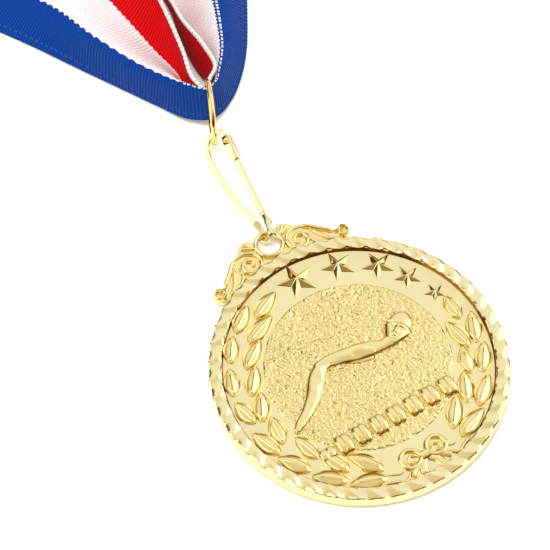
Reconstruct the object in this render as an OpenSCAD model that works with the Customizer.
// Award medal on a striped neck ribbon. The medal lies on its back, the clip
// and the jump ring lie beside its crest, and the ribbon runs away from them
// to a folded stack. Millimetres, +Z up, +Y from the disc to its eye.
// The origin is the middle of the disc's back face.

/* [Disc] */
// Diameter of the disc
disc_d = 50; // [40:1:60]
// Thickness of the disc at its rim
disc_t = 3.2; // [2.6:0.1:4]
// Width of the raised rim
rim_w = 1.9; // [1.2:0.1:3]
// Depth of the polished field below the rim
field_depth = 1.1; // [0.5:0.1:1.5]
// Diameter of the raised grained centre
centre_d = 31.8; // [24:0.2:34]
// Height of the grained centre above the field
centre_rise = 0.3; // [0.1:0.1:0.5]
// Size of the small bevel round both edges of the disc
edge_bevel = 0.3; // [0.1:0.1:0.6]

/* [Crest] */
// Distance from the disc's edge to the middle of the eye
eye_rise = 3.1; // [2.8:0.1:4.5]
// Diameter of the hole in the eye
eye_hole_d = 4; // [3.6:0.1:5]
// Width of the metal round the hole
eye_wall = 0.75; // [0.6:0.05:1]
// Height of the crest's back above the disc's back
crest_lift = 0.9; // [0.85:0.05:1.2]
// Thickness of the crest
crest_t = 1.7; // [1.2:0.1:1.8]
// Width of the crest from curl to curl
crest_w = 27.2; // [24:0.2:30]
// Radius of the curl at each end of the crest
curl_r = 1.3; // [1:0.1:1.6]

/* [Clip] */
// Length of the clip beyond the eye
clip_len = 22.2; // [18:0.2:28]
// Width of the clip between the middles of its legs at the head
clip_w = 5.75; // [5:0.05:7]
// Thickness of the spring strip
strip_t = 0.6; // [0.4:0.05:0.7]
// Width of the strip along the legs
strip_w = 1.25; // [1:0.05:1.5]
// Width of the strip where it rounds the head
head_strip_w = 0.9; // [0.8:0.05:1.1]
// Width of the strip where it hooks through the eye
hook_strip_w = 0.9; // [0.7:0.05:1]
// Roll of the clip about its length, in degrees
clip_roll = 40; // [30:1:45]
// Wall thickness of the channel that catches the gate
channel_wall = 0.3; // [0.2:0.05:0.4]

/* [Jump ring] */
// Outer diameter of the jump ring
ring_d = 12; // [10:0.5:15]
// Diameter of its wire
ring_wire_d = 1; // [0.8:0.05:1.2]

/* [Ribbon] */
// Width of the ribbon
ribbon_w = 25.4; // [20:0.2:30]
// Thickness of the ribbon
ribbon_t = 0.5; // [0.3:0.05:0.6]
// Number of times the spare ribbon runs along the folded stack
stack_runs = 9; // [5:2:11]
// Length of the folded stack
stack_l = 80; // [66:1:100]

/* [Fits] */
// Free space between the hook and the eye it passes through
hook_gap = 0.25; // [0.15:0.05:0.4]
// Free space between the head of the clip and the ring's wire
link_gap = 0.3; // [0.1:0.01:0.4]
// Free space between the gate and what it closes against
gate_gap = 0.12; // [0.1:0.01:0.2]

/* [Hidden] */

fine = 128;
medium = 48;

// Disc and crest
disc_r = disc_d / 2;
field_z = disc_t - field_depth;
eye = [0, disc_r + eye_rise];
eye_hole_r = eye_hole_d / 2;
eye_r = eye_hole_r + eye_wall;
crest_top = crest_lift + crest_t;
crest_skin = 0.2;           // the eye stands this far above the scrollwork
curl_x = crest_w / 2 - curl_r;
curl_y = disc_r - 1.2;      // the curls hang a little below the disc's highest point

// Hook of the clip: it wraps the eye's rim where the rim's radius leans by hook_lean
hook_lean = 22;
hook_out = [sin(hook_lean), cos(hook_lean), 0];
hook_side = [cos(hook_lean), -sin(hook_lean), 0];
hook_pivot = [eye[0], eye[1], 0] + (eye_hole_r + eye_wall / 2) * hook_out;
hook_under = -0.55;         // sideways places of the strip below and above the rim
hook_over = 0.55;
under_z = max(strip_t / 2, crest_lift - hook_gap - strip_t / 2);
over_z = crest_top + hook_gap + strip_t / 2;
hook_mid_z = (under_z + over_z) / 2;
hook_room = 0.7;            // free space between the rim's inner side and the hook's turn
hook_reach = eye_wall / 2 + hook_room + strip_t / 2;
pivot_z = crest_lift + crest_t / 2;

// Plane of the clip: across the legs, along them, and out of the plane
clip_across = [cos(clip_roll), 0, sin(clip_roll)];
clip_out = [-sin(clip_roll), 0, cos(clip_roll)];
clip_origin = [-0.1, eye[1] + eye_hole_r + eye_wall / 2, 0.65];
// The outline below was drawn for these two sizes and stretches with the named ones
drawn_len = 22.2;
drawn_w = 5.75;
function on_clip(across, along) = clip_origin + (across * clip_w / drawn_w) * clip_across
    + [0, along * clip_len / drawn_len, 0];

// Middle line of the clip's fixed leg and head, from the hook to the channel
LEG = [[0.85, 5], [0.5, 8], [0.43, 11.4], [0.6, 15.2], [1, 18.1], [1.55, 19.8], [2.35, 21], [3.1, 21.55],
       [3.95, 21.8], [4.7, 21.75], [5.4, 21.4], [6, 20.7], [6.2, 19.8], [6.2, 19.2]];
LEG_WIDTHS = [1, 1, 1, 1, 1, 0.6, 0, 0, 0, 0, 0, 0.2, 0.6, 1];  // 0 is the head's width, 1 the leg's
CHANNEL_END = [5.16, 14.6];
channel_root = 0.7;         // length of the channel's solid root, half of it before the leg's end
GATE_ROOT = [3.09, 3.45];
GATE_TIP = [5.6, 16.6];
gate_root = on_clip(GATE_ROOT[0], GATE_ROOT[1]);
gate_tip = on_clip(GATE_TIP[0], GATE_TIP[1]);
gate_dir = unit(gate_tip - gate_root);
channel_top = on_clip(LEG[13][0], LEG[13][1]);
channel_end = on_clip(CHANNEL_END[0], CHANNEL_END[1]);

// Jump ring: it stands on edge, and the head of the clip hangs in it
ring_turn = -24.8;          // direction of the ring's axis, from +X
ring_far = [-sin(ring_turn), cos(ring_turn), 0];
wire_reach = ring_wire_d / 2 * 1.27;   // the wire passes through the clip's plane at a slant
head_inward = 0.42 * clip_across - [0, 0.91, 0];
ring_pass = on_clip(LEG[7][0], LEG[7][1]) + (head_strip_w / 2 + wire_reach + link_gap) * head_inward;
wire_path_r = (ring_d - ring_wire_d) / 2;
pass_angle = asin((ring_d / 2 - ring_pass[2]) / wire_path_r);
ring_centre = [ring_pass[0], ring_pass[1], ring_d / 2] + wire_path_r * cos(pass_angle) * ring_far;

// Ribbon: each station is [outer edge, inner edge, thickness, heading]. In the ring they are
// measured from its centre, and outside it from the floor below its centre, where a wider
// ribbon grows outwards so that the two strands keep their distance.
drawn_bore = 10;
drawn_ribbon_w = 25.4;
lift = 0.05;                // the lowest ribbon stays this far above the floor
bore_scale = (ring_d - 2 * ring_wire_d) / drawn_bore;
RING_LEFT = [[-0.7, 3.4, -4], [0.3, 4.9, 2.5], 2.6, 155];
RING_NEAR = [[0.4, 2.6, -3], [0.4, 2.6, 2.9], 2.2, -25];
RING_FAR = [[1.7, 2, -3], [1.7, 2, 2.9], 2.2, -25];
RING_RIGHT = [[2.6, 2, -4], [2.9, 2.7, 2.6], 2.4, 0];
lying = lift + ribbon_t / 2;
LEFT = [
    [[-5.4, 10.5, 0.6], [2.2, 13.4, 8], 4.2, 118],
    [[-12.3, 23.2, 0.5], [4.2, 27.3, 10.6], 3, 115],
    [[-18.4, 35.3, 0.4], [4, 43.2, 6.2], 1.8, 115],
    [[-22.9, 44.5, lying], [-0.2, 55, 0.7], 0.6, 115],
];
RIGHT = [
    [[5.4, 4.6, 1], [4.3, 6.8, 8], 3.4, 38],
    [[8.6, 8, 0.6], [5.1, 12, 8.4], 3.4, 52],
    [[13, 13.4, 0.5], [5.9, 18.6, 8], 3, 58],
    [[20.4, 23, 0.4], [6.8, 26.8, 7], 2, 60],
    [[28, 33, lying], [6.8, 44, 1.4], 0.8, 60]
];

// Folded stack, beyond the ends of both strands
run_gap = 0.02;             // free space between two runs of the stack
stack_run_t = ribbon_t + run_gap;
stack_h = stack_runs * stack_run_t;
stack_x = -33;              // from the ring's centre to the stack's left end
stack_y = 62;               // from the ring's centre to the near side of the stack
left_end = [-17.4, -31.6];  // where the middle and outer edge of each strand meet the stack
right_end = [29.5, 44.2];
stitch_l = 1.6;
stitch_d = 0.3;
stitch_pitch = 2.6;
stitch_rows = [0, 8];
stitch_x = 36.5;

function unit(v) = v / norm(v);

// Four corners of a strip's cross-section: p its middle, along its direction, up out of its face
function strip_corners(p, along, up, w, t) =
    let (side = unit(cross(up, along)), top = unit(cross(along, side)))
    [p + side * w / 2 + top * t / 2, p - side * w / 2 + top * t / 2,
     p - side * w / 2 - top * t / 2, p + side * w / 2 - top * t / 2];

function direction(path, i) =
    unit(path[min(i + 1, len(path) - 1)] - path[max(i - 1, 0)]);

// Skin over a row of four-cornered sections
module loft(sections) {
    last = len(sections) - 1;
    points = [for (s = sections) each s];
    sides = [for (i = [0:last - 1], k = [0:3])
        let (a = 4 * i + k, b = 4 * i + (k + 1) % 4) each [[a, a + 4, b], [b, a + 4, b + 4]]];
    polyhedron(points, concat([[0, 1, 2, 3]], sides, [[for (k = [0:3]) 4 * last + 3 - k]]));
}

module strip(path, ups, widths, t) {
    loft([for (i = [0:len(path) - 1]) strip_corners(path[i], direction(path, i), ups[i], widths[i], t)]);
}

// Disc with its rim, field and raised centre, and the crest with the eye
module medal_casting() {
    color("gold") {
        difference() {
            union() {
                disc();
                difference() {
                    crest();
                    cylinder(r = disc_r - rim_w / 2, h = disc_t, $fn = fine);
                }
            }
            translate([eye[0], eye[1], -1]) cylinder(r = eye_hole_r, h = disc_t + 2, $fn = medium);
        }
    }
}

module disc() {
    centre_z = field_z + centre_rise;
    rotate_extrude($fn = fine) polygon([
        [0, 0], [disc_r - edge_bevel, 0], [disc_r, edge_bevel], [disc_r, disc_t - edge_bevel],
        [disc_r - edge_bevel, disc_t], [disc_r - rim_w + edge_bevel, disc_t], [disc_r - rim_w, field_z],
        [centre_d / 2, field_z], [centre_d / 2 - centre_rise, centre_z], [0, centre_z]
    ]);
}

module crest() {
    // Right-hand outline from the foot of the curl up to the eye
    edge = [[0, disc_r - 3], [curl_x - 2, curl_y - 2], [curl_x, curl_y - curl_r], [curl_x, curl_y],
            [curl_x - 1.6, curl_y + 1], [9, disc_r + 1.9], [6.7, disc_r + 4], [5.2, disc_r + 4.9],
            [4.2, disc_r + 5.7], [2.6, disc_r + 5.8], [0, eye[1]]];
    translate([0, 0, crest_lift]) {
        for (flip = [0, 1]) mirror([flip, 0, 0]) {
            linear_extrude(crest_t - crest_skin) polygon(edge);
            translate([curl_x, curl_y, 0]) cylinder(r = curl_r, h = crest_t, $fn = medium);
        }
        translate([eye[0], eye[1], 0]) cylinder(r = eye_r, h = crest_t, $fn = medium);
    }
}

// Fixed part of the clip: hook through the eye, long leg, head and channel
module clip_frame() {
    over = hook_pivot + hook_over * hook_side;
    under = hook_pivot + hook_under * hook_side;
    middle = (over + under) / 2;
    stub_end = gate_root - gate_gap * gate_dir;
    stub_l = 0.6;
    run_over = 1.5;         // straight runs of the hook beyond the rim, above and below it
    run_under = 1.3;
    turn_in = hook_reach - 0.5;
    hook = [
        stub_end, stub_end - stub_l * gate_dir,
        over + run_over * hook_out + [0, 0, over_z], over + [0, 0, over_z],
        over - turn_in * hook_out + [0, 0, over_z - 0.1], middle - hook_reach * hook_out + [0, 0, hook_mid_z],
        under - turn_in * hook_out + [0, 0, under_z + 0.1],
        under + [0, 0, under_z], under + run_under * hook_out + [0, 0, under_z]
    ];
    up = [0, 0, 1];
    hook_ups = [clip_out, clip_out, up, up, up - 0.5 * hook_out, -hook_out, -up - 0.5 * hook_out, -up, -up];
    hook_widths = [strip_w, strip_w, strip_w, for (i = [1:6]) hook_strip_w];
    leg = [for (p = LEG) on_clip(p[0], p[1])];
    leg_widths = [for (k = LEG_WIDTHS) head_strip_w + k * (strip_w - head_strip_w)];
    color("khaki") {
        strip(concat(hook, leg), concat(hook_ups, [for (p = leg) -clip_out]),
              concat(hook_widths, leg_widths), strip_t);
        channel();
    }
}

// Folded end of the strip that catches the free end of the gate, open towards the long leg
module channel() {
    inner_w = strip_w + gate_gap;
    inner_t = strip_t + 2 * gate_gap;
    beyond = 1;             // the slot is cut this far past the open side and end
    along = unit(channel_end - channel_top);
    outward = unit(cross(clip_out, along));
    root = channel_top - channel_root / 2 * along;
    wall_shift = channel_wall / 2 * outward;
    slot_shift = -beyond / 2 * outward;
    block_w = inner_w + channel_wall;
    slot_w = inner_w + beyond;
    difference() {
        strip([root + wall_shift, channel_end + wall_shift], [clip_out, clip_out], [block_w, block_w],
              inner_t + 2 * channel_wall);
        strip([root + channel_root * along + slot_shift, channel_end + beyond * along + slot_shift],
              [clip_out, clip_out], [slot_w, slot_w], inner_t);
    }
}

// Springing leg of the clip, which swings inwards to open it
module clip_gate() {
    gate_w = strip_w - 0.1;
    color("khaki") strip([gate_root, gate_tip], [clip_out, clip_out], [gate_w, gate_w], strip_t);
}

// Round wire bent to a ring, with a fine slit where its ends meet
module jump_ring() {
    slit = 1;
    color("goldenrod") translate(ring_centre) rotate([90, 0, ring_turn + 90]) rotate([0, 0, 200])
        rotate_extrude(angle = 360 - slit, $fn = fine)
            translate([(ring_d - ring_wire_d) / 2, 0]) circle(d = ring_wire_d, $fn = 24);
}

// Corners of a strand's section at a station
function section(low, high, t, heading) =
    let (along = [cos(heading), sin(heading), 0], face = unit(cross(along, high - low)) * t / 2,
         corners = [high - face, high + face, low + face, low - face])
    [for (c = corners) [c[0], c[1], max(c[2], lift)]];

function in_ring(s) =
    section(ring_centre + bore_scale * s[0], ring_centre + bore_scale * s[1], bore_scale * s[2], s[3]);

function on_floor(s) =
    let (high = s[1], low = high + ribbon_w / drawn_ribbon_w * (s[0] - high),
         foot = [ring_centre[0], ring_centre[1], 0])
    section(foot + [low[0], low[1], s[0][2]], foot + high, s[2], s[3]);

// End of a strand against the near side of the stack, at height z
function at_stack(ends, z) =
    let (outer = [ends[1], stack_y, z], inner = [2 * ends[0] - ends[1], stack_y, z])
    on_floor([outer, inner, ribbon_t, 90]);

// Gathered bend of the ribbon inside the jump ring
module ribbon_turn() {
    from_left = [RING_LEFT[0], RING_LEFT[1], RING_LEFT[2], RING_LEFT[3] + 180];
    color("royalblue") loft([for (s = [from_left, RING_NEAR, RING_FAR, RING_RIGHT]) in_ring(s)]);
}

module ribbon_left_strand() {
    color("firebrick") loft([in_ring(RING_LEFT), for (s = LEFT) on_floor(s), at_stack(left_end, lying)]);
}

module ribbon_right_strand() {
    top_run = lift + stack_h - ribbon_t / 2;
    color("white") loft([in_ring(RING_RIGHT), for (s = RIGHT) on_floor(s), at_stack(right_end, top_run)]);
}

// Spare ribbon laid back and forth
module ribbon_folded_stack() {
    half = stack_h / 2;
    color("royalblue") translate(stack_corner()) {
        translate([half, 0, 0]) cube([stack_l - stack_h, ribbon_w, stack_h]);
        for (x = [half, stack_l - half]) translate([x, 0, half]) rotate([-90, 0, 0])
            cylinder(r = half, h = ribbon_w, $fn = medium);
    }
}

function stack_corner() = [ring_centre[0] + stack_x, ring_centre[1] + stack_y, lift];

// Two rows of stitches that join the ends of the ribbon, on the top of the stack
module ribbon_seam_thread() {
    count = floor((ribbon_w - 2) / stitch_pitch);
    first = (ribbon_w - (count - 1) * stitch_pitch - stitch_l) / 2;
    color("white") translate(stack_corner() + [stitch_x, first, stack_h + stitch_d / 2])
        for (x = stitch_rows, i = [0:count - 1]) translate([x, i * stitch_pitch, 0]) rotate([-90, 0, 0])
            cylinder(d = stitch_d, h = stitch_l, $fn = 16);
}

medal_casting();
clip_frame();
clip_gate();
jump_ring();
ribbon_turn();
ribbon_left_strand();
ribbon_right_strand();
ribbon_folded_stack();
ribbon_seam_thread();
